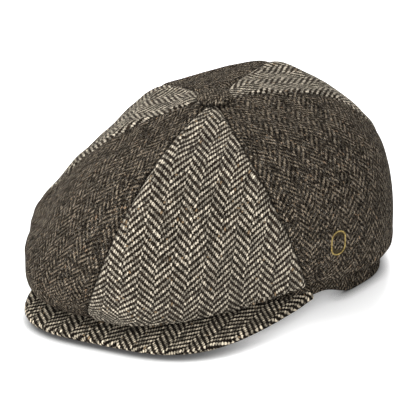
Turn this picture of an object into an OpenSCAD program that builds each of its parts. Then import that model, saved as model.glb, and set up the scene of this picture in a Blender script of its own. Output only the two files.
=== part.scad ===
// Six-panel newsboy cap, lying on a table. Front towards -Y, the wearer's left towards +X.
// The origin is the middle of the head opening, on the table.

/* [Band] */
// half the width of the band, ear to ear
band_rx = 88; // [86:0.5:90]
// half the length of the band, front to back
band_ry = 105; // [103:0.5:107]
// height of the band
band_h = 26; // [25:0.5:26.5]
// thickness of the band's cloth
band_t = 1.6; // [1.2:0.1:1.6]
// how far the visor lifts the front of the band off the table
band_lift = 11; // [9:0.5:12]

/* [Crown] */
// height of the cloth under the button
crown_h = 129; // [124:1:134]
// mean reach of the rim from its own middle
rim_r = 119; // [117:0.5:121]
// how much longer the rim is than wide
rim_long = 10.5; // [8:0.5:12]
// how much the rim is pulled to one diagonal
rim_skew = 9; // [6:0.5:10]
// how much the rim is drawn out at the front
rim_nose = 4; // [2:0.5:5]
// how much the fold is pushed round to one side
rim_drift = 3; // [1:0.5:4]
// how square the rim is
rim_square = 5; // [3:0.5:6]
// sideways place of the rim's middle
rim_x = -15; // [-16:0.5:-12]
// fore and aft place of the rim's middle
rim_y = -15; // [-16:0.5:-12]
// mean height of the widest line of the crown
wide_z = 28.5; // [28:0.5:32]
// how far the crown's fold hangs down, as a share of how far it stands out from the band
sag = 0.2; // [0.1:0.02:0.22]
// thickness of the crown cloth
cloth_t = 1.2; // [1:0.1:1.4]

/* [Lining] */
// distance of the lining inside the crown's outer face
lining_in = 3; // [2.8:0.1:3.4]
// thickness of the lining
lining_t = 0.6; // [0.5:0.1:0.8]

/* [Visor] */
// half the width of the visor between its ends
visor_rx = 82; // [81:0.5:84]
// how far the visor's edge lies in front of its ends
visor_reach = 113; // [110:0.5:116]
// how far the visor's ends lie in front of the middle of the head opening
visor_ends = 45; // [44:0.5:46]
// how far the visor's edge is turned to the wearer's right
visor_turn = 13; // [10:0.5:14]
// height of the middle of the visor at its front edge
visor_front_z = 5; // [4:0.5:6]
// thickness of the stiff board
board_t = 1.8; // [1.4:0.1:2]

/* [Button] */
// radius of the covered button
button_r = 12; // [11:0.5:13]
// height of the covered button
button_h = 6; // [5:0.5:7]

/* [Badge] */
// width of the badge
badge_w = 11.5; // [10:0.5:13]
// height of the badge
badge_l = 17.5; // [15:0.5:19]
// radius of the badge's post
post_r = 0.6; // [0.5:0.1:0.8]
// how far the post reaches behind the badge
post_l = 14; // [12:0.5:14.5]

/* [Hidden] */

// clearance between pieces that are sewn together
gap = 0.3;
// radius of the hole that the button's shank passes through
hole_r = 3;
button_x = 3;
button_y = -35;
// share of a panel's length that lies above the widest line
turn_s = 0.7;
oval_steps = 72;
round_steps = 64;
// where the badge's post goes through the left side panel: turn in degrees, share of the panel's length
badge_t = 79;
badge_s = 0.595;
plate_t = 1.3;
rim_w = 0.9;
recess = 0.6;
running = 0.05;
clutch_r = 4.6;
clutch_h = 4;
// how far the end of the band's lift lies in front of the ears
lift_run = 36;
// heights of the visor's board and cloths above and below its middle, and of its middle at the band
board_top = board_t / 2;
cover_low = board_top + gap / 2;
cover_high = cover_low + cloth_t;
visor_back_z = band_lift + cover_high + 0.1;
light = [0.62, 0.58, 0.52];
dark = [0.27, 0.24, 0.20];

// a smooth swelling of the crown beside the visor's left end, from 0 to 1
function beside_visor(t) = exp(-pow(((t + 128) % 360 - 180) / 22, 2));

// reach of the rim at turn t, where 0 is the front and 90 the wearer's left
function rim(t) = rim_r + rim_long * cos(2 * t) - rim_skew * sin(2 * t)
    + rim_nose * cos(3 * t) - rim_drift * sin(3 * t) + rim_square * cos(4 * t) + 5 * beside_visor(t);

// height of the widest line: low at the front, high at the back
function widest(t) = wide_z - 9 * cos(t) - 2.5 * sin(t) + 3 * cos(2 * t) - 5 * sin(3 * t)
    + 2.5 * beside_visor(t);

// roundness of the crown outwards and upwards: a straight slope at the front, a full back
function outward(t) = 0.91 + 0.2 * cos(t) - 0.11 * sin(t);
function upward(t) = 1.07 + 0.35 * cos(t) - 0.2 * sin(t);

// a point of the band's oval, inset from its outer face
function oval(t, inset) = [(band_rx - inset) * sin(t), -(band_ry - inset) * cos(t)];

// distance of the oval from the middle in direction t
function oval_r(t, inset) = 1 / sqrt(pow(sin(t) / (band_rx - inset), 2) + pow(cos(t) / (band_ry - inset), 2));

// angle along the crown's curve where the button's hole is reached
function hole_angle(t, d) = asin(pow(hole_r / (rim(t) - d), 1 / outward(t)));

// a point of the crown at turn t, share s from button to band, depth d and inset of its lower edge;
// the part that hangs below the widest line runs straight in to the band, and sags by hang
function crown_p(t, s, d, inset, hang) =
    let (first = hole_angle(t, d))
    let (ph = first + (90 - first) * min(s / turn_s, 1))
    let (u = 90 * max((s - turn_s) / (1 - turn_s), 0))
    let (w = cos(ph))
    let (r = (rim(t) - d) * pow(sin(ph), outward(t)))
    let (x = rim_x + (button_x - rim_x) * w + r * sin(t))
    let (y = rim_y + (button_y - rim_y) * w - r * cos(t))
    let (far = norm([x, y]))
    let (edge = oval_r(atan2(x, -y), inset))
    let (inward = (edge + (far - edge) * cos(u)) / far)
    let (above = widest(t) + (crown_h - d - widest(t)) * pow(w, upward(t)))
    let (below = widest(t) + (band_h + gap + d - widest(t)) * sin(u) - hang * (far - edge) * sin(2 * u))
    s > turn_s ? [x * inward, y * inward, below] : [x, y, above];

// seams swing a little between the button and the rim as the soft crown leans
seam_lean = [-3.5, -4, 17, 3, 0, -1.5];
seam_swing = [0.5, 11.5, -9, -5.5, 0, -10.5];
function seam_t(k, s) =
    let (i = k % 6)
    60 * k + seam_lean[i] + seam_swing[i] * (2 * min(s / turn_s, 1) - 1);

// turn of column i of a panel, with half the clearance taken off at both seams
function column_t(k, i, cols, s) =
    let (middle = (seam_t(k, s) + seam_t(k + 1, s)) / 2)
    let (first = hole_angle(middle, 0))
    let (ph = first + (90 - first) * min(s / turn_s, 1))
    let (slip = asin(gap / 2 / (rim(middle) * pow(sin(ph), outward(middle)))))
    let (low = seam_t(k, s) + slip)
    let (high = seam_t(k + 1, s) - slip)
    low + (high - low) * i / cols;

// points of one face of a gore, column by column from the button to the band
function gore_face(k, cols, rows, d, inset, hang) = [
    for (i = [0 : cols]) for (j = [0 : rows])
        crown_p(column_t(k, i, cols, j / rows), j / rows, d, inset, hang)
];

// faces of a thin body between two grids of the same size, the upper grid listed first
function skin_faces(cols, rows) =
    let (n = rows + 1)
    let (m = n * (cols + 1))
    concat(
        [for (i = [0 : cols - 1]) for (j = [0 : rows - 1])
            let (p = i * n + j)
            each [[p, p + n, p + n + 1], [p, p + n + 1, p + 1],
                [m + p, m + p + n + 1, m + p + n], [m + p, m + p + 1, m + p + n + 1]]],
        [for (j = [0 : rows - 1])
            let (q = cols * n + j)
            each [[j, j + 1, m + j + 1], [j, m + j + 1, m + j],
                [q + 1, q, m + q], [q + 1, m + q, m + q + 1]]],
        [for (i = [0 : cols - 1])
            let (p = i * n)
            let (q = i * n + rows)
            each [[p + n, p, m + p], [p + n, m + p, m + p + n],
                [q, q + n, m + q + n], [q, m + q + n, m + q]]]
    );

module skin(upper, lower, cols, rows) {
    polyhedron(points = concat(upper, lower), faces = skin_faces(cols, rows), convexity = 6);
}

module gore(k, d, t, inset, hang, cols, rows) {
    skin(gore_face(k, cols, rows, d, inset, hang), gore_face(k, cols, rows, d + t, inset, hang), cols, rows);
}

module crown_panel(k) {
    gore(k, 0, cloth_t, 0, sag, 10, 18);
}

// the lining is cut shorter than the crown, so it hangs less
module lining_gore(k) {
    gore(k, lining_in, lining_t, 2.4, sag / 3, 6, 11);
}

// the badge's own frame: z along the outward normal of the cloth
badge_p = crown_p(badge_t, badge_s, 0, 0, sag);
badge_down = crown_p(badge_t, badge_s + 0.01, 0, 0, sag) - badge_p;
badge_round = crown_p(badge_t + 1, badge_s, 0, 0, sag) - badge_p;
badge_cross = cross(badge_down, badge_round);
badge_n = badge_cross / norm(badge_cross);
module at_badge() {
    translate(badge_p)
        rotate([0, acos(badge_n[2]), atan2(badge_n[1], badge_n[0])])
            children();
}

module post_hole() {
    at_badge()
        translate([0, 0, -8])
            cylinder(r = post_r + running, h = 12, $fn = round_steps);
}

module oval_ring(outer, inner, z, h) {
    translate([0, 0, z])
        linear_extrude(height = h)
            difference() {
                polygon([for (i = [0 : oval_steps - 1]) oval(360 * i / oval_steps, outer)]);
                polygon([for (i = [0 : oval_steps - 1]) oval(360 * i / oval_steps, inner)]);
            }
}

// height that the lower edge of the band reaches a distance in front of the ears
function lift(ahead) =
    let (share = min(ahead / lift_run, 1))
    band_lift * share * share * (3 - 2 * share);

// takes away what the visor lifts off the table, from everything sewn into the band
module lifted() {
    difference() {
        children();
        rotate([90, 0, -90])
            linear_extrude(height = 3 * band_rx, center = true)
                polygon(concat(
                    [[lift_run, -1], [0, -1]],
                    [for (i = [0 : 12]) [lift_run * i / 12, lift(lift_run * i / 12)]],
                    [[2 * band_ry, band_lift], [2 * band_ry, -1]]
                ));
    }
}

// a point of the visor's middle surface: p from -90 to 90 across, v from 0 at the band to 1 at the edge
function visor_p(p, v, rise) =
    let (side = sign(sin(p)) * pow(abs(sin(p)), 0.57))
    let (ahead = pow(cos(p), 0.64))
    let (inner = oval(p * 0.72, -gap))
    let (x = visor_rx * side - visor_turn * ahead)
    let (y = -(visor_ends + visor_reach * ahead * (1 - 0.07 * side)))
    let (edge_z = visor_front_z + 6 * pow(abs(sin(p)), 3))
    [
        inner[0] + (x - inner[0]) * v,
        inner[1] + (y - inner[1]) * v,
        visor_back_z + (edge_z - visor_back_z) * v + rise
    ];

visor_cols = 26;
function visor_face(stations, rises) = [
    for (i = [0 : visor_cols]) for (j = [0 : len(stations) - 1])
        visor_p(-90 + 180 * i / visor_cols, stations[j], rises[j])
];

module visor_sheet(upper_stations, upper_rises, lower_stations, lower_rises) {
    skin(visor_face(upper_stations, upper_rises), visor_face(lower_stations, lower_rises),
        visor_cols, len(upper_stations) - 1);
}

module panel_front_left() {
    color(light) crown_panel(0);
}

module panel_side_left() {
    color(dark)
        difference() {
            crown_panel(1);
            post_hole();
        }
}

module panel_back_left() {
    color(light) crown_panel(2);
}

module panel_back_right() {
    color(dark) crown_panel(3);
}

module panel_side_right() {
    color(light) crown_panel(4);
}

module panel_front_right() {
    color(dark) crown_panel(5);
}

module lining_front_left() {
    color("dimgray") lining_gore(0);
}

module lining_side_left() {
    color("dimgray")
        difference() {
            lining_gore(1);
            post_hole();
        }
}

module lining_back_left() {
    color("dimgray") lining_gore(2);
}

module lining_back_right() {
    color("dimgray") lining_gore(3);
}

module lining_side_right() {
    color("dimgray") lining_gore(4);
}

module lining_front_right() {
    color("dimgray") lining_gore(5);
}

module band() {
    color(dark)
        lifted() oval_ring(0, band_t, 0, band_h);
}

module band_stiffener() {
    color("white")
        lifted() oval_ring(band_t + gap, band_t + gap + 0.7, 0.6, band_h - 1.6);
}

sweat_out = band_t + 2 * gap + 0.8;
sweat_in = sweat_out + 0.9;
module sweatband() {
    color("saddlebrown")
        lifted() oval_ring(sweat_out, sweat_in, 0.8, band_h + 4);
}

// labels are short stretches of a thin ring just inside the sweatband
module woven_label() {
    color("black")
        intersection() {
            oval_ring(sweat_in + 0.1, sweat_in + 0.5, 8, 15);
            translate([-19, 60, 0]) cube([38, 60, 40]);
        }
}

module size_tab() {
    color("white")
        intersection() {
            oval_ring(sweat_in + 0.1, sweat_in + 0.4, 9, 13);
            translate([-105, -7, 0]) cube([60, 14, 40]);
        }
}

// the top cover wraps over the visor's edge, so its lower face drops outside the board
module visor_top() {
    color(light)
        visor_sheet(
            [0, 0.3, 0.6, 0.96, 0.98, 1],
            [cover_high, cover_high, cover_high, cover_high, cover_high - 0.3, cover_low - 0.2],
            [0, 0.3, 0.6, 0.96, 0.964, 0.995],
            [cover_low, cover_low, cover_low, cover_low, -cover_low, -cover_low]
        );
}

module visor_board() {
    color("tan")
        visor_sheet([0.01, 0.35, 0.65, 0.95], [board_top, board_top, board_top, board_top],
            [0.01, 0.35, 0.65, 0.95], [-board_top, -board_top, -board_top, -board_top]);
}

module visor_under() {
    color(dark)
        visor_sheet([0, 0.35, 0.65, 0.955], [-cover_low, -cover_low, -cover_low, -cover_low],
            [0, 0.35, 0.65, 0.955], [-cover_high, -cover_high, -cover_high, -cover_high]);
}

button_z = crown_h + gap;
// radius at height h of a dome of the given radius and rise, standing on a short rim
function dome(r, rise, a) = [r * cos(a), rise * sin(a)];

module button_cover() {
    color(dark)
        translate([button_x, button_y, button_z])
            rotate_extrude($fn = round_steps)
                polygon(concat(
                    [[button_r - 1.4, 0], [button_r - 0.3, 0]],
                    [for (a = [0 : 10 : 90]) [0, 0.8] + dome(button_r, button_h - 0.8, a)],
                    [for (a = [90 : -10 : 0]) [0, 0.8] + dome(button_r - 1.1, button_h - 1.9, a)]
                ));
}

module button_shell() {
    color("silver")
        translate([button_x, button_y, button_z])
            rotate_extrude($fn = round_steps)
                polygon(concat(
                    [for (a = [0 : 10 : 90]) [0, 0.8] + dome(button_r - 1.3, button_h - 2.1, a)],
                    [for (a = [90 : -10 : 0]) [0, 0.8] + dome(button_r - 1.9, button_h - 2.7, a)]
                ));
}

module button_back() {
    color("gray")
        translate([button_x, button_y, button_z]) {
            cylinder(r = button_r - 2.2, h = 0.7, $fn = round_steps);
            translate([0, 0, -6])
                cylinder(r = hole_r - 0.6, h = 6, $fn = round_steps);
        }
}

module button_anchor() {
    color("gray")
        translate([button_x, button_y, crown_h - lining_in - lining_t - 2.2])
            difference() {
                cylinder(r = 7, h = 0.8, $fn = round_steps);
                translate([0, 0, -1])
                    cylinder(r = hole_r - 0.55, h = 3, $fn = round_steps);
            }
}

// a long round-ended outline standing upright on the cap
module badge_outline(inset) {
    half = (badge_l - badge_w) / 2;
    for (side = [-1, 1])
        translate([side * half, 0])
            circle(r = badge_w / 2 - inset, $fn = round_steps);
    square([2 * half, badge_w - 2 * inset], center = true);
}

badge_z = 0.6;
module badge_plate() {
    color("darkgoldenrod")
        at_badge()
            translate([0, 0, badge_z])
                difference() {
                    linear_extrude(height = plate_t) badge_outline(0);
                    translate([0, 0, plate_t - recess])
                        linear_extrude(height = 1) badge_outline(rim_w);
                }
}

module badge_enamel() {
    color([0.06, 0.06, 0.06])
        at_badge()
            translate([0, 0, badge_z + plate_t - recess])
                linear_extrude(height = recess - 0.15) badge_outline(rim_w + 0.05);
}

module badge_post() {
    color("darkgoldenrod")
        at_badge()
            translate([0, 0, badge_z - post_l])
                cylinder(r = post_r, h = post_l, $fn = round_steps);
}

clutch_z = -(lining_in + lining_t + 2.2);
module badge_clutch() {
    color("goldenrod")
        at_badge()
            translate([0, 0, clutch_z - clutch_h])
                rotate_extrude($fn = round_steps)
                    polygon([[post_r + running, 0], [2.2, 0], [2.6, 2.6], [clutch_r, 3], [clutch_r, clutch_h],
                        [post_r + running, clutch_h]]);
}

panel_front_left();
panel_side_left();
panel_back_left();
panel_back_right();
panel_side_right();
panel_front_right();
lining_front_left();
lining_side_left();
lining_back_left();
lining_back_right();
lining_side_right();
lining_front_right();
band();
band_stiffener();
sweatband();
woven_label();
size_tab();
visor_top();
visor_board();
visor_under();
button_cover();
button_shell();
button_back();
button_anchor();
badge_plate();
badge_enamel();
badge_post();
badge_clutch();
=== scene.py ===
import math

import bpy
import numpy as np
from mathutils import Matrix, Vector


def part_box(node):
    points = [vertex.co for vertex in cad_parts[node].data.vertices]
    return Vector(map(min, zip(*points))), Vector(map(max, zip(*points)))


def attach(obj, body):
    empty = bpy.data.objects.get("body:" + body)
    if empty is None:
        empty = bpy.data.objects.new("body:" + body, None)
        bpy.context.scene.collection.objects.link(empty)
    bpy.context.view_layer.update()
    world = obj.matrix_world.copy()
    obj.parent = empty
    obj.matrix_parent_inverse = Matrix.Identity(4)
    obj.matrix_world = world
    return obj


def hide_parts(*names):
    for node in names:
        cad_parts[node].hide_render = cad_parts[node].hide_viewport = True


# A soft newsboy cap on a table. Shapes are worked out in millimetres and turned into metres as
# the meshes are made. Angles are in degrees: 0 is the cap's front (-Y), 90 the wearer's left (+X).
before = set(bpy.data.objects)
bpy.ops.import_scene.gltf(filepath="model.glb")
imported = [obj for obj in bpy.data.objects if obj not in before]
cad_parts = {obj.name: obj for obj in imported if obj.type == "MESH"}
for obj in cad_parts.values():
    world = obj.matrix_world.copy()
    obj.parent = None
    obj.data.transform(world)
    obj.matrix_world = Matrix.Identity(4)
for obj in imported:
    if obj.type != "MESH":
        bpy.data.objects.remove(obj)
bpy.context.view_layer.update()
MM = 0.001
CAP = "cap"


def sind(a):
    return np.sin(np.radians(a))


def cosd(a):
    return np.cos(np.radians(a))


def smooth(x):
    """0 below 0, 1 above 1, and a smooth rise between."""
    x = np.clip(x, 0, 1)
    return x * x * (3 - 2 * x)


# ---------------------------------------------------------------- sizes that the frame gives

band_low, band_high = (np.array(p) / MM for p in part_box("band"))
BAND_RX, BAND_RY, BAND_H = band_high
button_low, button_high = (np.array(p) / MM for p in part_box("button_cover"))
BUTTON = (button_low + button_high) / 2
BUTTON_R = (button_high[0] - button_low[0]) / 2
BUTTON_H = button_high[2] - button_low[2]
GAP = 0.3
CROWN_H = button_low[2] - GAP

# ---------------------------------------------------------------- the crown's shape, as in the CAD

RIM_X, RIM_Y = -15, -15  # where the crown's widest line is centred
HOLE_R = 3  # the button's shank passes here
TURN_S = 0.7  # share of the way to the band at which the crown turns under
SAG = 0.2
PANEL_COUNT = 6
# Each seam's turn from an even sixth at the middle of its way, and how far it swings to both ends
SEAM_LEAN = [-3.5, -4, 17, 3, 0, -1.5]
SEAM_SWING = [0.5, 11.5, -9, -5.5, 0, -10.5]


def beside_visor(t):
    """A fullness of the crown on the wearer's right, where it hangs past the visor."""
    return np.exp(-((((t + 128) % 360) - 180) / 22) ** 2)


def rim(t):
    """Radius of the crown's widest line at turn t."""
    return (119 + 10.5 * cosd(2 * t) - 9 * sind(2 * t) + 4 * cosd(3 * t) - 3 * sind(3 * t)
            + 5 * cosd(4 * t) + 5 * beside_visor(t))


def widest(t):
    """Height of the crown's widest line at turn t."""
    return (28.5 - 9 * cosd(t) - 2.5 * sind(t) + 3 * cosd(2 * t) - 5 * sind(3 * t)
            + 2.5 * beside_visor(t))


def outward(t):
    """How the crown's top spreads at turn t: below 1 it spreads early."""
    return 0.91 + 0.2 * cosd(t) - 0.11 * sind(t)


def upward(t):
    """How the crown's top falls off at turn t: above 1 it falls off early."""
    return 1.07 + 0.35 * cosd(t) - 0.2 * sind(t)


def oval_r(t, inset):
    """Radius at turn t of the band's oval, inset from its outer face."""
    return 1 / np.sqrt((sind(t) / (BAND_RX - inset)) ** 2 + (cosd(t) / (BAND_RY - inset)) ** 2)


def crown_points(t, s, d, inset, hang):
    """Points of the crown at turn t and share s from the button to the band, d inside its face."""
    reach = rim(t) - d
    first = np.degrees(np.arcsin((HOLE_R / reach) ** (1 / outward(t))))
    ph = first + (90 - first) * np.clip(s / TURN_S, 0, 1)
    u = 90 * np.clip((s - TURN_S) / (1 - TURN_S), 0, 1)
    w = np.clip(cosd(ph), 0, 1)
    r = reach * sind(ph) ** outward(t)
    x = RIM_X + (BUTTON[0] - RIM_X) * w + r * sind(t)
    y = RIM_Y + (BUTTON[1] - RIM_Y) * w - r * cosd(t)
    far = np.hypot(x, y)
    edge = oval_r(np.degrees(np.arctan2(x, -y)), inset)
    inward = (edge + (far - edge) * cosd(u)) / far
    above = widest(t) + (CROWN_H - d - widest(t)) * w ** upward(t)
    below = (widest(t) + (BAND_H + GAP + d - widest(t)) * sind(u)
             - hang * (far - edge) * sind(2 * u))
    return np.stack([x * inward, y * inward, np.where(s > TURN_S, below, above)], -1)


def seam_t(k, s):
    """Turn of seam k at share s."""
    i = k % PANEL_COUNT
    swing = SEAM_SWING[i] * (2 * np.clip(s / TURN_S, 0, 1) - 1)
    return 360 / PANEL_COUNT * k + SEAM_LEAN[i] + swing


# ---------------------------------------------------------------- mesh tools

INSIDE = np.array([0, 0, 20])  # a point within the crown


def unit(v):
    """The same directions with length 1."""
    return v / np.maximum(np.linalg.norm(v, axis=-1, keepdims=True), 1e-9)


def grid_normals(points):
    """Outward normals of a grid of points on the crown or its lining, column by column."""
    normals = unit(np.cross(np.gradient(points, axis=1), np.gradient(points, axis=0)))
    outward_share = np.einsum("ijk,ijk->", normals, points - INSIDE)
    return normals if outward_share > 0 else -normals


def flat_pattern(points, normals):
    """The grid laid out flat, as the piece was cut: the middle column is a straight line, and
    each row leaves it along the straightest way over the surface."""
    cols, rows = points.shape[:2]
    mid = cols // 2
    steps = np.diff(points, axis=0)
    long = np.linalg.norm(steps, axis=-1)
    way = unit(steps)
    bend = np.zeros((cols, rows))
    bend[1:-1] = np.einsum("ijk,ijk->ij", np.cross(way[:-1], way[1:]), normals[1:-1])
    down = np.linalg.norm(np.diff(points[mid], axis=0), axis=-1)
    flat = np.zeros((cols, rows, 2))
    flat[mid, 1:, 1] = np.cumsum(down)
    for side in (1, -1):
        angle = 0.5 * bend[mid]
        i = mid
        while 0 <= i + side < cols:
            seg = i if side > 0 else i - 1
            flat[i + side, :, 0] = flat[i, :, 0] + side * long[seg] * np.cos(angle)
            flat[i + side, :, 1] = flat[i, :, 1] - long[seg] * np.sin(angle)
            i += side
            if 0 < i < cols - 1:
                angle = angle + bend[i]
    return flat


def wavy(points, size, seed, waves=14):
    """A soft, even unevenness over points: a sum of waves of about one size, from -1 to 1."""
    rng = np.random.default_rng(seed)
    ways = unit(rng.normal(size=(waves, 3))) * (2 * math.pi / size) * rng.uniform(0.7, 1.4, (waves, 1))
    return np.cos(points @ ways.T + rng.uniform(0, 2 * math.pi, waves)).mean(-1) * math.sqrt(2)


def make_object(name, points, faces, body, material, uv=None, marks=None):
    """A smooth-shaded object on a body; uv and marks hold a value for each point."""
    mesh = bpy.data.meshes.new(name)
    mesh.from_pydata((np.asarray(points) * MM).tolist(), [], [list(map(int, f)) for f in faces])
    mesh.polygons.foreach_set("use_smooth", [True] * len(mesh.polygons))
    if uv is not None:
        index = np.empty(len(mesh.loops), int)
        mesh.loops.foreach_get("vertex_index", index)
        layer = mesh.uv_layers.new(name="cloth")
        layer.data.foreach_set("uv", (np.asarray(uv) * MM)[index].astype(np.float32).ravel())
    for mark, values in (marks or {}).items():
        attribute = mesh.attributes.new(mark, "FLOAT", "POINT")
        attribute.data.foreach_set("value", np.asarray(values, np.float32))
    mesh.materials.append(material)
    mesh.validate()
    mesh.update()
    obj = bpy.data.objects.new(name, mesh)
    bpy.context.scene.collection.objects.link(obj)
    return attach(obj, body)


def grid_faces(cols, rows, start=0, flip=False, wrap=False):
    """Quads between cols x rows points listed column by column."""
    faces = []
    for i in range(cols if wrap else cols - 1):
        for j in range(rows - 1):
            a = start + i * rows + j
            b = start + ((i + 1) % cols) * rows + j
            quad = (a, b, b + 1, a + 1)
            faces.append(quad[::-1] if flip else quad)
    return faces


def shell_faces(cols, rows):
    """Faces of a closed thin shell: an outer grid, an inner grid and the edge round both."""
    n = cols * rows
    faces = grid_faces(cols, rows) + grid_faces(cols, rows, n, flip=True)
    for j in range(rows - 1):
        q = (cols - 1) * rows + j
        faces.append((j, j + 1, n + j + 1, n + j))
        faces.append((q + 1, q, n + q, n + q + 1))
    for i in range(cols - 1):
        p, q = i * rows, i * rows + rows - 1
        faces.append((p + rows, p, n + p, n + p + rows))
        faces.append((q, q + rows, n + q + rows, n + q))
    return faces


# ---------------------------------------------------------------- materials

UNDER_STUDIO_LIGHT = 0.66  # the share of a colour's brightness as seen that its paint has
SATIN_RIB = 0.6
TAPE_RADIUS = 96  # about the band's own, so that a tape's weave is square


class Paint:
    """A material and short ways to add nodes to it."""

    def __init__(self, name, **fixed):
        self.material = bpy.data.materials.new(name)
        self.material.use_nodes = True
        self.tree = self.material.node_tree
        self.shader = self.tree.nodes["Principled BSDF"]
        for socket, value in fixed.items():
            self.shader.inputs[socket.replace("_", " ")].default_value = value

    def put(self, kind, inputs, output=0, **settings):
        """Adds a node, gives its inputs and settings, and returns one of its outputs."""
        node = self.tree.nodes.new(kind)
        for key, value in settings.items():
            setattr(node, key, value)
        for socket, value in inputs.items():
            self.feed(node.inputs[socket], value)
        return node.outputs[output]

    def feed(self, socket, value):
        """Links a socket to another one, or sets it to a plain value."""
        if isinstance(value, bpy.types.NodeSocket):
            self.tree.links.new(value, socket)
        else:
            socket.default_value = value

    def math(self, operation, *values):
        return self.put("ShaderNodeMath", dict(enumerate(values)), operation=operation)

    def add(self, a, b):
        return self.math("ADD", a, b)

    def mul(self, a, b):
        return self.math("MULTIPLY", a, b)

    def lerp(self, share, a, b):
        """a where share is 0, b where it is 1."""
        return self.put("ShaderNodeMix", {0: share, 2: a, 3: b}, data_type="FLOAT")

    def blend(self, share, a, b, kind="MIX"):
        return self.put("ShaderNodeMix", {0: share, 6: a, 7: b}, 2, data_type="RGBA", blend_type=kind)

    def shaded(self, colour, tone):
        """A colour made darker or lighter by a number."""
        return self.blend(1.0, colour, self.vector(tone, tone, tone), "MULTIPLY")

    def within(self, value, low, high, to_low=0.0, to_high=1.0):
        """Carries low..high over to to_low..to_high, and holds the ends."""
        return self.put("ShaderNodeMapRange",
                        {0: value, 1: low, 2: high, 3: to_low, 4: to_high}, clamp=True)

    def noise(self, vector, scale, detail=2.0, rough=0.5):
        return self.put("ShaderNodeTexNoise",
                        {"Vector": vector, "Scale": scale, "Detail": detail, "Roughness": rough})

    def vector(self, x, y, z=0.0):
        return self.put("ShaderNodeCombineXYZ", {0: x, 1: y, 2: z})

    def random(self, vector):
        """A steady random number from 0 to 1 for each whole-number place."""
        return self.put("ShaderNodeTexWhiteNoise", {"Vector": vector}, noise_dimensions="3D")

    def mark(self, name):
        """A value that the mesh holds for each of its points."""
        return self.put("ShaderNodeAttribute", {}, "Fac", attribute_name=name)

    def cloth_uv(self):
        """The place on the flat cloth, in metres, whole and as two numbers."""
        spot = self.put("ShaderNodeUVMap", {}, uv_map="cloth")
        split = self.tree.nodes.new("ShaderNodeSeparateXYZ")
        self.feed(split.inputs[0], spot)
        return spot, split.outputs[0], split.outputs[1]

    def place(self):
        """The place in the piece's own space, in metres."""
        return self.put("ShaderNodeTexCoord", {}, "Object")

    def finish(self, colour, roughness=None, height=None, depth=0.0, strength=1.0):
        """Feeds the shader; height makes a relief of the given depth. Returns the material."""
        self.feed(self.shader.inputs["Base Color"], colour)
        if roughness is not None:
            self.feed(self.shader.inputs["Roughness"], roughness)
        if height is not None:
            relief = self.put("ShaderNodeBump", {"Strength": strength, "Distance": depth, "Height": height})
            self.feed(self.shader.inputs["Normal"], relief)
        return self.material


def rgb(red, green, blue):
    """The linear colour that nodes take, from one as it looks under the studio's bright light."""
    seen = np.array([red, green, blue]) / 255
    linear = np.where(seen <= 0.04045, seen / 12.92, ((seen + 0.055) / 1.055) ** 2.4)
    return (*(linear * UNDER_STUDIO_LIGHT).tolist(), 1.0)


def twill(p, u, v, run):
    """A two-and-two twill whose slant turns round every run threads; u and v count warp and weft
    threads. Gives 1 where the warp is on top, the thread's height, and a random number for each
    float and for each whole thread."""
    i, j = p.math("FLOOR", u), p.math("FLOOR", v)
    a, b = p.math("FRACT", u), p.math("FRACT", v)
    odd = p.math("FLOORED_MODULO", p.math("FLOOR", p.mul(i, 1 / run)), 2.0)
    side = p.add(p.mul(odd, 2.0), -1.0)
    step = p.math("FLOORED_MODULO", p.add(j, p.add(p.mul(i, side), p.mul(odd, 3.0))), 4.0)
    over = p.math("LESS_THAN", step, 1.5)
    beyond = p.add(step, -2.0)
    turned = p.lerp(odd, p.mul(a, -1.0), a)
    weft_way = p.add(beyond, p.add(turned, p.add(1.0, p.mul(odd, -1.0))))
    along = p.lerp(over, p.math("FRACT", p.mul(weft_way, 0.5)), p.mul(p.add(step, b), 0.5))
    across = p.lerp(over, b, a)
    bow = p.math("POWER", p.math("ABSOLUTE", p.add(p.mul(across, 2.0), -1.0)), 2.0)
    dip = p.math("POWER", p.math("ABSOLUTE", p.add(p.mul(along, 2.0), -1.0)), 2.5)
    height = p.mul(p.math("SQRT", p.add(1.02, p.mul(bow, -1.0))), p.add(1.0, p.mul(dip, -0.65)))
    first = p.vector(p.lerp(over, p.add(i, p.mul(beyond, side)), i),
                     p.lerp(over, j, p.add(j, p.mul(step, -1.0))), p.mul(over, 7.0))
    whole = p.vector(p.lerp(over, -1.0, i), p.lerp(over, j, -1.0), 5.0)
    return over, height, p.random(first), p.random(whole)


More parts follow.
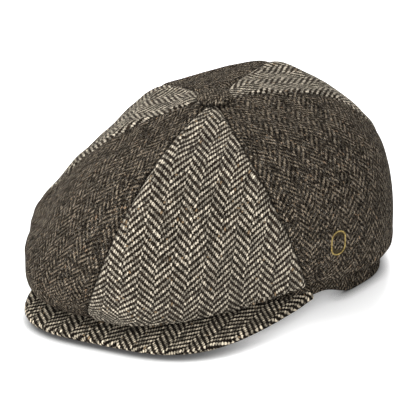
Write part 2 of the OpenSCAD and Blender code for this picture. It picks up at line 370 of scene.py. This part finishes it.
def herringbone(name, warp, weft, fleck, pitch, run, wobble, uneven, gap_shade, relief, hair, sheen):
    """Woollen herringbone. pitch is the width of a warp and a weft thread and wobble how far they
    stray, in millimetres; warp runs from the button to the band. uneven is how much the floats,
    the fibres and whole patches differ among themselves, and hair how much pale fibres show."""
    p = Paint(name, Roughness=0.95, Sheen_Weight=sheen, Sheen_Roughness=0.4)
    p.shader.inputs["Sheen Tint"].default_value = rgb(226, 218, 206)
    p.shader.inputs["Specular IOR Level"].default_value = 0.02
    spot, u, v = p.cloth_uv()
    sway = p.mul(p.add(p.noise(spot, 35.0, 1.0), -0.5), 3 * MM)
    stray = p.mul(p.add(p.noise(spot, 640.0, 2.0), -0.5), wobble * MM)
    u = p.add(u, p.add(sway, stray))
    stray = p.mul(p.add(p.noise(p.vector(v, u, 3.1), 600.0, 2.0), -0.5), wobble * MM)
    v = p.add(v, stray)
    u = p.mul(u, 1 / (pitch[0] * MM))
    v = p.mul(v, 1 / (pitch[1] * MM))
    over, height, chance, thread = twill(p, u, v, run)
    fibre = p.noise(p.vector(p.lerp(over, p.mul(u, 0.45), u), p.lerp(over, v, p.mul(v, 0.45)),
                             p.mul(over, 9.0)), 3.2, 4.0, 0.75)
    patch = p.noise(spot, 90.0, 4.0, 0.65)
    tone = p.within(p.math("POWER", chance, 1.5), 0, 1, -uneven[0], 1.4 * uneven[0])
    tone = p.add(tone, p.within(thread, 0, 1, -0.2, 0.15))
    tone = p.add(tone, p.within(fibre, 0.28, 0.72, -uneven[1], uneven[1]))
    tone = p.add(tone, p.within(patch, 0.3, 0.7, -uneven[2], uneven[2]))
    tone = p.math("MAXIMUM", p.add(1.0, tone), 0.12)
    colour = p.blend(over, weft, warp)
    colour = p.blend(p.math("GREATER_THAN", chance, 0.99), colour, fleck)
    strand = p.noise(p.vector(p.mul(u, 1.3), p.mul(v, 0.8), 21.0), 2.2, 3.0, 0.6)
    colour = p.blend(p.within(strand, 0.54, 0.7, 0.0, hair), colour, rgb(186, 181, 170))
    # Painted shade: the lower a thread's surface, the darker its colour, so the gaps between threads and
    # the ends of floats look shaded.
    shade = p.within(height, 0.2, 0.9, gap_shade, 1.12)
    # Threads lighter along raised edges, and painted shade in seam grooves, on the band under the crown's
    # overhang and round the button's rim.
    ridge_tone_and_painted_shade = p.add(p.add(1.0, p.mul(p.mark("ridge"), 0.2)), p.mul(p.mark("hollow_shade"), -0.6))
    colour = p.shaded(colour, p.mul(p.mul(tone, shade), ridge_tone_and_painted_shade))
    return p.finish(colour, None, p.add(height, p.mul(fibre, 0.9)), relief * MM)


def satin(name, colour):
    """Finely ribbed lining with a soft gloss."""
    p = Paint(name, Sheen_Weight=0.15, Sheen_Roughness=0.3)
    spot, u, v = p.cloth_uv()
    lines = p.math("SINE", p.mul(v, 2 * math.pi / (SATIN_RIB * MM)))
    slub = p.noise(p.vector(p.mul(u, 0.15), v), 900.0, 2.0)
    fold = p.noise(spot, 25.0, 2.0)
    tone = p.add(p.within(slub, 0.3, 0.7, 0.85, 1.15), p.within(fold, 0.3, 0.7, -0.12, 0.12))
    return p.finish(p.shaded(colour, tone), p.within(slub, 0.3, 0.7, 0.32, 0.5),
                    p.add(p.mul(lines, 0.15), p.mul(fold, 2.5)), 0.4 * MM, 0.6)


def tape(name, colour, pitch, rough=0.85):
    """A plain weave wrapped round the cap, for its flat trimmings and stiff parts; pitch in mm."""
    p = Paint(name, Roughness=rough, Sheen_Weight=0.2)
    where = p.place()
    split = p.tree.nodes.new("ShaderNodeSeparateXYZ")
    p.feed(split.inputs[0], where)
    around = p.mul(p.math("ARCTAN2", split.outputs[0], split.outputs[1]), TAPE_RADIUS)
    across = p.math("SINE", p.mul(around, 2 * math.pi / pitch))
    upward_wave = p.math("SINE", p.mul(split.outputs[2], 2 * math.pi / (pitch * MM)))
    cloth = p.mul(across, upward_wave)
    cloud = p.noise(where, 220.0, 4.0, 0.6)
    tone = p.add(p.within(cloud, 0.3, 0.7, 0.8, 1.15), p.mul(cloth, 0.12))
    return p.finish(p.shaded(colour, tone), None, p.add(cloth, cloud), 0.15 * MM, 0.8)


def metal(name, colour, dark, rough=(0.25, 0.5)):
    """Metal with a rubbed, uneven patina."""
    p = Paint(name, Metallic=1.0)
    where = p.place()
    cloud = p.noise(where, 900.0, 4.0, 0.65)
    scratch = p.noise(where, 4200.0, 2.0, 0.5)
    stain = p.within(cloud, 0.42, 0.62)
    shade = p.blend(stain, colour, dark)
    return p.finish(shade, p.within(cloud, 0.3, 0.7, *rough), p.add(scratch, cloud), 0.04 * MM, 0.5)


LIGHT_TWEED = herringbone("tweed_light", rgb(186, 176, 158), rgb(43, 34, 26), rgb(112, 94, 72),
                          (1.27, 1.15), 8, 1.8, (0.5, 0.85, 0.16), 0.16, 0.6, 0.22, 0.1)
DARK_TWEED = herringbone("tweed_dark", rgb(113, 101, 85), rgb(34, 26, 19), rgb(104, 84, 64),
                         (0.88, 1.15), 8, 1.6, (0.75, 1.2, 0.3), 0.1, 0.7, 0.85, 0.0)
BUTTON_TWEED = herringbone("tweed_button", rgb(128, 116, 99), rgb(48, 40, 32), rgb(104, 88, 70),
                           (0.78, 0.95), 6, 1.5, (0.75, 1.3, 0.25), 0.1, 0.7, 0.9, 0.0)
VISOR_TWEED = herringbone("tweed_visor", rgb(194, 182, 161), rgb(27, 20, 15), rgb(112, 94, 72),
                          (1.32, 1.25), 8, 1.5, (0.55, 0.75, 0.15), 0.04, 0.7, 0.14, 0.04)
LINING = satin("lining_cloth", rgb(104, 88, 74))
SWEAT = tape("sweat_cloth", rgb(44, 39, 36), 0.9)
CANVAS = tape("canvas", rgb(206, 199, 182), 0.8)
LABEL_DARK = tape("label_dark", rgb(34, 31, 30), 0.4)
LABEL_PALE = tape("label_pale", rgb(222, 219, 212), 0.4)
BOARD = tape("board", rgb(150, 126, 92), 1.6)
NYLON = tape("nylon", rgb(52, 50, 48), 2.5, 0.5)
STEEL = metal("shell_metal", rgb(172, 170, 166), rgb(120, 118, 114))
BRASS = metal("brass", rgb(186, 164, 100), rgb(96, 78, 46), (0.3, 0.5))
ENAMEL = metal("enamel", rgb(74, 64, 44), rgb(30, 25, 18), (0.45, 0.6))


# ---------------------------------------------------------------- crown

PANELS = ["front_left", "side_left", "back_left", "back_right", "side_right", "front_right"]
CLOTH_T = 1.2
PANEL_COLS, PANEL_ROWS = 57, 121
PANEL_SLIP = 0.06  # half the gap between two panels
LINING_COLS, LINING_ROWS = 21, 41
LINING_SLIP = 0.15
LINING_T = 0.4
LINING_IN, LINING_EDGE_IN = 3.0, 2.4  # how far the lining lies inside the crown's and the band's faces
LINING_EASE = 0.7
# How far each panel's cloth was cut off the straight grain, in degrees
GRAIN = [12, 13, 14, 0, 0, -18]

# The band and the crown's lower edge stand farther out near this turn: turn, spread, distance in mm
FLARE = (109, 15, 7)


def flare(x, y):
    """How far the flare pushes a point outward, and which way that is."""
    turn, spread, most = FLARE
    far = most * np.exp(-(((np.degrees(np.arctan2(x, -y)) - turn) / spread) ** 2))
    return far, np.stack([x, y, 0 * x], -1) / np.hypot(x, y)[..., None]


# Soft dents and swellings of the crown: turn, share from the button, their spread in both, height in mm
TOUCHES = [
    (296, 0.60, 15, 0.13, 4.4), (335, 0.77, 11, 0.07, 3.6), (246, 0.29, 13, 0.09, 3.0),
    (184, 0.29, 14, 0.10, 3.8), (274, 0.40, 12, 0.10, -1.2), (155, 0.38, 12, 0.10, -1.4),
    (102, 0.80, 16, 0.08, 2.0), (322, 0.71, 12, 0.06, -2.4), (122, 0.58, 24, 0.13, -1.8),
    (296, 0.62, 10, 0.08, 1.2),
]


def sculpted(t, s):
    """How far the cloth stands out of its plain shape, in millimetres."""
    out = np.zeros_like(t)
    for turn, share, wide, long, high in TOUCHES:
        away = ((t - turn + 180) % 360 - 180) / wide
        out = out + high * np.exp(-(away ** 2) - ((s - share) / long) ** 2)
    return out


def off_grain(flat, angle):
    """The flat cloth's own threads, when the piece was cut at an angle to them."""
    pivot = np.array([0, flat[..., 1].max() * 0.55])
    u, v = np.moveaxis(flat - pivot, -1, 0)
    return np.stack([u * cosd(angle) + v * sind(angle), v * cosd(angle) - u * sind(angle)], -1)


def panel_grid(k, cols, rows, slip):
    """Turn and share of each grid point of panel k; columns crowd towards the seams."""
    share = np.linspace(0, 1, rows)
    spread = 0.5 - 0.5 * np.cos(np.linspace(0, math.pi, cols))
    spread = 0.35 * np.linspace(0, 1, cols) + 0.65 * spread
    low, high = seam_t(k, share), seam_t(k + 1, share)
    middle = (low + high) / 2
    first = np.degrees(np.arcsin((HOLE_R / rim(middle)) ** (1 / outward(middle))))
    ph = first + (90 - first) * np.clip(share / TURN_S, 0, 1)
    give = np.degrees(np.arcsin(np.minimum(slip / (rim(middle) * sind(ph) ** outward(middle)), 0.5)))
    t = (low + give)[None] + (high - low - 2 * give)[None] * spread[:, None]
    return t, np.broadcast_to(share, t.shape)


def smooth_weights(count, at):
    """Weights that carry count evenly spaced values over to the places at, without creases."""
    base = np.clip(np.floor(at).astype(int), 0, count - 2)
    f = at - base
    near = {-1: -f ** 3 + 2 * f ** 2 - f, 0: 3 * f ** 3 - 5 * f ** 2 + 2,
            1: -3 * f ** 3 + 4 * f ** 2 + f, 2: f ** 3 - f ** 2}
    weights = np.zeros((len(at), count))
    for step, weight in near.items():
        np.add.at(weights, (np.arange(len(at)), np.clip(base + step, 0, count - 1)), weight / 2)
    return weights


SETTLE_COLS, SETTLE_ROWS = 12, 28
SETTLE_FRAMES = 26
MOST_SETTLED = 2.2  # the farthest that the simulation may move the cloth
LESS_GRAVITY = 0.4
TWEED_CLOTH = {
    "quality": 6, "mass": 0.15, "tension_stiffness": 20, "compression_stiffness": 20,
    "bending_stiffness": 1.5, "air_damping": 3, "shrink_min": -0.012,
    "use_pressure": True, "uniform_pressure_force": 0.35,
}


def settle():
    """Simulates the crown's cloth, held along its seams, the button and the band, and filled out by
    the paper that a new cap is packed with. Gives how far each panel's cloth moved outward, in mm."""
    share = np.linspace(0, 1, SETTLE_ROWS)
    turns = []
    for k in range(PANEL_COUNT):
        low, high = seam_t(k, share), seam_t(k + 1, share)
        turns += [low + (high - low) * i / SETTLE_COLS for i in range(SETTLE_COLS)]
    t = np.array(turns)
    s = np.broadcast_to(share, t.shape)
    base = crown_points(t, s, 0, 0, SAG)
    ring = np.concatenate([base[-1:], base, base[:1]])
    normals = grid_normals(ring)[1:-1]
    cols = len(t)
    mesh = bpy.data.meshes.new("settling")
    mesh.from_pydata((base.reshape(-1, 3) * MM).tolist(), [], grid_faces(cols, SETTLE_ROWS, wrap=True))
    obj = bpy.data.objects.new("settling", mesh)
    bpy.context.scene.collection.objects.link(obj)
    held = obj.vertex_groups.new(name="held")
    column, row = np.divmod(np.arange(cols * SETTLE_ROWS), SETTLE_ROWS)
    fixed = (column % SETTLE_COLS == 0) | (row < 2) | (row == SETTLE_ROWS - 1)
    held.add(np.nonzero(fixed)[0].tolist(), 1.0, "REPLACE")
    cloth = obj.modifiers.new("cloth", "CLOTH")
    for setting, value in TWEED_CLOTH.items():
        setattr(cloth.settings, setting, value)
    cloth.settings.vertex_group_mass = held.name
    cloth.settings.effector_weights.gravity = LESS_GRAVITY
    cloth.point_cache.frame_start = 1
    cloth.point_cache.frame_end = SETTLE_FRAMES
    scene = bpy.context.scene
    for frame_number in range(1, SETTLE_FRAMES + 1):
        scene.frame_set(frame_number)
    shape = obj.evaluated_get(bpy.context.evaluated_depsgraph_get()).to_mesh()
    after = np.empty(len(mesh.vertices) * 3)
    shape.vertices.foreach_get("co", after)
    scene.frame_set(1)
    bpy.data.objects.remove(obj)
    bpy.data.meshes.remove(mesh)
    moved = ((after.reshape(base.shape) / MM - base) * normals).sum(-1)
    moved = MOST_SETTLED * np.tanh(moved / MOST_SETTLED)
    moved = np.concatenate([moved, moved[:1]])
    return [moved[SETTLE_COLS * k:SETTLE_COLS * (k + 1) + 1] for k in range(PANEL_COUNT)]


settled = settle()


def settled_at(k, t, s):
    """How far the simulation moved gore k at the places of a grid."""
    if not settled:
        return 0 * t
    middle = t[:, t.shape[1] // 2]
    across = (middle - middle[0]) / (middle[-1] - middle[0]) * SETTLE_COLS
    return (smooth_weights(SETTLE_COLS + 1, across) @ settled[k]
            @ smooth_weights(SETTLE_ROWS, s[0] * (SETTLE_ROWS - 1)).T)


def from_seam(base):
    """Distance of each grid point of a panel from the nearer of its two seams."""
    steps = np.linalg.norm(np.diff(base, axis=0), axis=-1)
    from_first = np.concatenate([np.zeros((1, base.shape[1])), np.cumsum(steps, 0)])
    return np.minimum(from_first, from_first[-1:] - from_first)


def bump(distance, middle, spread):
    return np.exp(-(((distance - middle) / spread) ** 2))


def crown_lift(k, t, s, base, seam, pale):
    """How far the cloth of panel k stands out of the plain crown: dents, what the simulation
    moved, soft waves, a swelling beside each seam, and the seam's own groove."""
    groove = 1.25 * bump(seam, 0, 1.5) * (1 + 0.35 * wavy(base, 11, 20 + k))
    groove = groove * (0.3 + 0.7 * smooth(s / 0.06))
    swell = 0.55 * (1 - bump(seam, 0, 9))
    if pale:
        swell = swell + 0.35 * bump(seam, 2.5, 2)
    soft = 0.9 * wavy(base, 62, 3) + 0.3 * wavy(base, 21, 4)
    free = smooth((1 - s) / 0.12) * smooth(s / 0.08)
    return sculpted(t, s) + settled_at(k, t, s) + (soft + swell) * free - groove


def crown_panel(k, name, pale):
    """One gore of the crown: a closed shell of cloth."""
    t, s = panel_grid(k, PANEL_COLS, PANEL_ROWS, PANEL_SLIP)
    base = crown_points(t, s, 0, 0, SAG)
    normals = grid_normals(base)
    flat = flat_pattern(base, normals)
    seam = from_seam(base)
    outer = base + normals * crown_lift(k, t, s, base, seam, pale)[..., None]
    push, way = flare(outer[..., 0], outer[..., 1])
    outer = outer + way * (push * smooth((s - 0.8) / 0.18))[..., None]
    inner = outer - normals * CLOTH_T
    points = np.concatenate([outer.reshape(-1, 3), inner.reshape(-1, 3)])
    uv = np.concatenate([off_grain(flat, GRAIN[k]).reshape(-1, 2)] * 2)
    # Threads lighter along the raised edge beside each seam, and painted shade in the seam's groove.
    ridge = bump(seam, 1.6, 1) * (1.0 if pale else 0.5)
    hollow_shade = bump(seam, 0, 0.8)
    marks = {"ridge": np.tile(ridge.ravel(), 2), "hollow_shade": np.tile(hollow_shade.ravel(), 2)}
    faces = shell_faces(PANEL_COLS, PANEL_ROWS)
    material = LIGHT_TWEED if pale else DARK_TWEED
    piece = make_object("crown_" + name, points, faces, CAP, material, uv, marks)
    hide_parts("panel_" + name)


def lining_panel(k, name):
    """One gore of the lining, which gives way where the crown is dented."""
    t, s = panel_grid(k, LINING_COLS, LINING_ROWS, LINING_SLIP)
    outer = crown_points(t, s, LINING_IN, LINING_EDGE_IN, SAG / 3)
    normals = grid_normals(outer)
    flat = flat_pattern(outer, normals)
    crease = 0.5 * wavy(outer, 26, 50 + k) * smooth((1 - s) / 0.1) * smooth(s / 0.1)
    dent = np.minimum(sculpted(t, s) + settled_at(k, t, s), 0)
    outer = outer + normals * (crease - LINING_EASE + 1.15 * dent)[..., None]
    inner = outer - normals * LINING_T
    points = np.concatenate([outer.reshape(-1, 3), inner.reshape(-1, 3)])
    uv = np.concatenate([flat.reshape(-1, 2)] * 2)
    faces = shell_faces(LINING_COLS, LINING_ROWS)
    piece = make_object("inside_" + name, points, faces, CAP, LINING, uv)
    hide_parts("lining_" + name)


for number, side_name in enumerate(PANELS):
    crown_panel(number, side_name, pale=number % 2 == 0)
for number, side_name in enumerate(PANELS):
    lining_panel(number, side_name)


# ---------------------------------------------------------------- band

LIFT, LIFT_RUN = 11, 36
BAND_COLS = 240
BAND_EASE = 0.25
# The band's cloth from its top edge down the outside and up the inside: depth under its outer
# face, and height while the lower edge lies on the table
BAND_SECTION = [
    (0.9, 26), (0.35, 25.2), (0.1, 22), (0, 16), (0.05, 8), (0.1, 3), (0.35, 1), (0.8, 0.15),
    (1.2, 0.3), (1.5, 2), (1.55, 12), (1.5, 25), (1.3, 26),
]
BAND_OUTSIDE = 8  # how many of these points are on the outside
BAND_SHADED_ROWS = 5  # and how many of them the crown shades


def band_lift(y):
    """Height of the band's lower edge, which the visor holds off the table at the front."""
    return LIFT * smooth(-y / LIFT_RUN)


def band_piece():
    """A loop of cloth folded under at its lower edge, with a seam at the back."""
    rows = len(BAND_SECTION)
    depth, height = np.array(BAND_SECTION, float).T
    t = (np.arange(BAND_COLS) * 360 / BAND_COLS)[:, None] + np.zeros(rows)
    radius = oval_r(t, depth)
    y = -radius * cosd(t)
    low = band_lift(y)
    z = low + (BAND_H - low) * height / BAND_H
    seam = np.abs(t % 360 - 180) * radius * math.pi / 180
    outside = np.arange(rows) < BAND_OUTSIDE
    uneven = 0.25 * wavy(np.stack([radius * sind(t), y, z], -1), 34, 9) - 0.7 * bump(seam, 0, 1.2)
    radius = radius + np.where(outside, uneven, 0) - BAND_EASE
    points = np.stack([radius * sind(t), -radius * cosd(t), z], -1)
    push, way = flare(points[..., 0], points[..., 1])
    points = points + way * (push * np.where(outside, 1, 0.7))[..., None]
    around = np.concatenate([[0], np.cumsum(np.linalg.norm(np.diff(points[:, 3], axis=0), axis=-1))])
    up = np.concatenate([[0], np.cumsum(np.hypot(np.diff(depth), np.diff(height)))])
    uv = np.stack([around[:, None] + 0 * z, up + 0 * z], -1)
    faces = grid_faces(BAND_COLS, rows, wrap=True)
    for i in range(BAND_COLS):
        this, following = i * rows, (i + 1) % BAND_COLS * rows
        faces.append((this + rows - 1, following + rows - 1, following, this))
    # Painted shade on the band's upper outside rows, where the crown hangs over them, and along its back
    # seam.
    tuck_shade = 0.9 * smooth((height - 12) / 12) * (np.arange(rows) < BAND_SHADED_ROWS)
    marks = {"ridge": np.zeros(BAND_COLS * rows), "hollow_shade": np.maximum(bump(seam, 0, 1), tuck_shade).ravel()}
    spots = points.reshape(-1, 3)
    piece = make_object("band_cloth", spots, faces, CAP, DARK_TWEED, uv.reshape(-1, 2), marks)
    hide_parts("band")


band_piece()


# ---------------------------------------------------------------- visor

VISOR_RX, VISOR_REACH, VISOR_ENDS, VISOR_TURN = 82, 113, 45, 13
VISOR_FRONT_Z = 5
BOARD_HALF = 0.9
COVER_HIGH = BOARD_HALF + GAP / 2 + CLOTH_T
VISOR_BACK_Z = LIFT + COVER_HIGH + 0.1
VISOR_COLS, TOP_ROWS, UNDER_ROWS = 161, 22, 16
EDGE_TURN = 2.4  # the cover starts to turn down this far inside the visor's edge
EDGE_ANGLES = (15, 35, 55, 75, 90, 105, 125, 150, 175)
HEM = [(5, 0.1), (6, 0.6)]  # the cover's hem underneath: how far back, and how far up
UNDER_BACK, UNDER_T = 5.2, 0.8


def visor_plan(p, v):
    """A point of the visor's middle surface: p from -90 to 90 across, v from 0 at the band to 1."""
    side = np.sign(sind(p)) * np.abs(sind(p)) ** 0.57
    ahead = np.clip(cosd(p), 0, 1) ** 0.64
    inner_x = (BAND_RX + GAP) * sind(0.72 * p)
    inner_y = -(BAND_RY + GAP) * cosd(0.72 * p)
    x = VISOR_RX * side - VISOR_TURN * ahead
    y = -(VISOR_ENDS + VISOR_REACH * ahead * (1 - 0.07 * side))
    edge_z = VISOR_FRONT_Z + 6 * np.abs(sind(p)) ** 3
    return np.stack([inner_x + (x - inner_x) * v, inner_y + (y - inner_y) * v,
                     VISOR_BACK_Z + (edge_z - VISOR_BACK_Z) * v], -1)


def cover_section(reach):
    """The top cloth from the band over the board's edge and back under it, where the visor reaches
    this far from the band: distance from the band and height over the board's middle."""
    turn_from = reach - EDGE_TURN
    rows = [(share * turn_from, COVER_HIGH) for share in smooth(np.linspace(0, 1, TOP_ROWS))]
    rows += [(turn_from + EDGE_TURN * sind(a), COVER_HIGH * cosd(a)) for a in EDGE_ANGLES]
    rows += [(reach - back, -COVER_HIGH + up) for back, up in HEM]
    return rows


def visor_cover(inner, outer):
    """The light cloth on top, wrapped round the edge: an open sheet."""
    out = unit(outer - inner)[:, None]
    reach = np.linalg.norm(outer - inner, axis=-1)
    far, high = np.moveaxis(np.array([cover_section(r) for r in reach]), -1, 0)
    steps = np.hypot(np.diff(far, axis=1), np.diff(high, axis=1))
    path = np.concatenate([np.zeros((len(reach), 1)), np.cumsum(steps, 1)], 1)
    top = inner[:, None] + out * far[..., None]
    top[..., 2] += high
    plan = inner[:, None] + out * path[..., None]
    uv = np.stack([plan[..., 0], -plan[..., 1]], -1)
    ridge = bump(far, reach[:, None] - 1, 2) * (high > -1)
    soft = 0.35 * wavy(top, 38, 31) + 0.12 * wavy(top, 13, 32)
    top[:, :TOP_ROWS, 2] += soft[:, :TOP_ROWS]
    top[:, TOP_ROWS:TOP_ROWS + 6, 2] += soft[:, TOP_ROWS - 1:TOP_ROWS]
    faces = grid_faces(*far.shape)
    marks = {"ridge": ridge.ravel(), "hollow_shade": np.zeros(ridge.size)}
    spots = top.reshape(-1, 3)
    piece = make_object("visor_cover", spots, faces, CAP, VISOR_TWEED, uv.reshape(-1, 2), marks)
    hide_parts("visor_top")


def visor_lining(inner, outer):
    """The dark cloth underneath: a thin closed shell inside the wrapped edge."""
    reach = np.linalg.norm(outer - inner, axis=-1)[:, None]
    share = np.linspace(0, 1, UNDER_ROWS) * (1 - UNDER_BACK / reach)
    under = inner[:, None] + (outer - inner)[:, None] * share[..., None]
    under[..., 2] -= COVER_HIGH - 0.15 + 0.12 * wavy(under, 30, 33)
    above = under + np.array([0, 0, UNDER_T])
    both = np.concatenate([under.reshape(-1, 3), above.reshape(-1, 3)])
    uv = np.tile(under[..., :2].reshape(-1, 2), (2, 1))
    marks = {"ridge": np.zeros(len(both)), "hollow_shade": np.zeros(len(both))}
    faces = shell_faces(len(inner), UNDER_ROWS)
    piece = make_object("visor_lining", both, faces, CAP, DARK_TWEED, uv, marks)
    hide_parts("visor_under")


def visor_pieces():
    across = np.linspace(-1, 1, VISOR_COLS)
    p = 90 * (0.55 * across + 0.45 * across ** 3)
    inner, outer = visor_plan(p, 0), visor_plan(p, 1)
    visor_cover(inner, outer)
    visor_lining(inner, outer)


visor_pieces()


# ---------------------------------------------------------------- button

BUTTON_COLS, BUTTON_ROWS = 96, 26
BUTTON_PLEATS = 11
BUTTON_SKIRT = 0.8  # height at which the dome of the button stands
CLOTH_SPREAD = 1.25  # the cloth's weave against its plan on the button


def button():
    """Cloth drawn over a dome, pleated at the rim and tucked in underneath."""
    turn = np.arange(BUTTON_COLS) * 360 / BUTTON_COLS
    share = np.linspace(0, 1, BUTTON_ROWS)
    t, angle = np.meshgrid(turn, 90 * share, indexing="ij")
    pleat = 0.22 * (0.5 + 0.5 * cosd(BUTTON_PLEATS * t + 40 * sind(3 * t))) * smooth((share - 0.72) / 0.28)
    r = BUTTON_R * sind(angle) ** 0.92 - pleat - 0.15
    z = BUTTON_SKIRT + (BUTTON_H - BUTTON_SKIRT) * np.clip(cosd(angle), 0, 1) ** 0.85
    rings = [np.stack([r * sind(t), -r * cosd(t), z], -1)]
    for inset, high in ((0.9, 0.2), (2, 0.1)):
        ring = np.stack([sind(turn), -cosd(turn), 0 * turn], -1) * (BUTTON_R - inset)
        rings.append((ring + [0, 0, high])[:, None])
    spot = np.concatenate(rings, 1)
    spot = spot + np.array([0, 0, 0.15]) * wavy(spot, 9, 61)[..., None]
    points = (spot + [BUTTON[0], BUTTON[1], button_low[2]]).reshape(-1, 3)
    flat = (CLOTH_SPREAD * spot[..., :2]).reshape(-1, 2)
    # Painted shade at the button's pleated rim and on the cloth tucked under it.
    tuck_shade = np.r_[0.6 * smooth((share - 0.8) / 0.2), 1, 1]
    marks = {"ridge": np.zeros(len(points)), "hollow_shade": np.tile(tuck_shade, BUTTON_COLS)}
    faces = grid_faces(*spot.shape[:2], wrap=True, flip=True)
    piece = make_object("button_cloth", points, faces, CAP, BUTTON_TWEED, flat, marks)
    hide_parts("button_cover")


button()

# ---------------------------------------------------------------- pieces kept from the CAD

KEPT = {
    "band_stiffener": CANVAS, "sweatband": SWEAT, "woven_label": LABEL_DARK, "size_tab": LABEL_PALE,
    "visor_board": BOARD, "button_shell": STEEL, "button_back": NYLON, "button_anchor": NYLON,
    "badge_plate": BRASS, "badge_enamel": ENAMEL, "badge_post": BRASS, "badge_clutch": BRASS,
}
for node, material in KEPT.items():
    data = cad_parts[node].data
    data.materials.clear()
    data.materials.append(material)


# ---------------------------------------------------------------- table, light and camera

TABLE_HALF = 3


def floor():
    """A plain white table that glows a little. Close under the cap its colour and glow are darkened, a
    painted contact shadow.
    """
    mesh = bpy.data.meshes.new("table")
    corners = [(x * TABLE_HALF, y * TABLE_HALF, 0) for x, y in ((-1, -1), (1, -1), (1, 1), (-1, 1))]
    mesh.from_pydata(corners, [], [(0, 1, 2, 3)])
    p = Paint("table_paint", Roughness=0.8)
    grain = p.noise(p.place(), 60.0, 3.0)
    # Painted contact shadow: the AO node darkens the colour and the glow where the cap is near.
    near = p.put("ShaderNodeAmbientOcclusion", {"Distance": 0.009}, "AO", samples=8)
    near = p.math("POWER", near, 1.5)
    tone = p.mul(p.within(grain, 0.3, 0.7, 0.985, 1.0), near)
    p.finish(p.shaded((0.93, 0.93, 0.93, 1), tone))
    p.shader.inputs["Emission Color"].default_value = (1, 1, 1, 1)
    p.feed(p.shader.inputs["Emission Strength"], p.mul(near, 0.25))
    mesh.materials.append(p.material)
    obj = bpy.data.objects.new("table", mesh)
    bpy.context.scene.collection.objects.link(obj)


VIEW_AZ, VIEW_EL = 29.5, 25.1
RIGHT = Vector((math.cos(math.radians(VIEW_AZ)), math.sin(math.radians(VIEW_AZ)), 0))
BACK = Vector((math.sin(math.radians(VIEW_AZ)) * math.cos(math.radians(VIEW_EL)),
               -math.cos(math.radians(VIEW_AZ)) * math.cos(math.radians(VIEW_EL)),
               math.sin(math.radians(VIEW_EL))))
UP = BACK.cross(RIGHT)
AIM = Vector((0, 0, 0.060)) - RIGHT * 0.0189 - UP * 0.0203
CAMERA_AWAY = 2.1


def camera():
    data = bpy.data.cameras.new("camera")
    data.lens = 275
    data.sensor_width = 36
    data.clip_end = 20
    obj = bpy.data.objects.new("camera", data)
    obj.location = AIM + BACK * CAMERA_AWAY
    obj.rotation_mode = "QUATERNION"
    obj.rotation_quaternion = (-BACK).to_track_quat("-Z", "Y")
    bpy.context.scene.collection.objects.link(obj)
    bpy.context.scene.camera = obj


def softbox(name, sideways, ahead, high, size, power):
    """A square lamp aimed at the cap; its place is given from the camera's point of view."""
    front = Vector((BACK.x, BACK.y, 0)).normalized()
    data = bpy.data.lights.new(name, "AREA")
    data.size = size
    data.energy = power
    obj = bpy.data.objects.new(name, data)
    obj.location = RIGHT * sideways + front * ahead + Vector((0, 0, high))
    obj.rotation_mode = "QUATERNION"
    obj.rotation_quaternion = (Vector((0, 0, 0.05)) - obj.location).to_track_quat("-Z", "Y")
    bpy.context.scene.collection.objects.link(obj)


def light():
    """White surroundings and three soft lamps."""
    world = bpy.data.worlds.new("studio")
    world.use_nodes = True
    background = world.node_tree.nodes["Background"]
    background.inputs["Color"].default_value = (1, 1, 1, 1)
    background.inputs["Strength"].default_value = 0.85
    bpy.context.scene.world = world
    softbox("key", -1.1, 0.2, 1.4, 0.9, 16)
    softbox("front", -0.5, 1.6, 0.55, 1.0, 25)
    softbox("back", 0.1, -0.9, 1.5, 0.6, 20)
    bpy.context.scene.view_settings.view_transform = "Standard"


floor()
camera()
light()
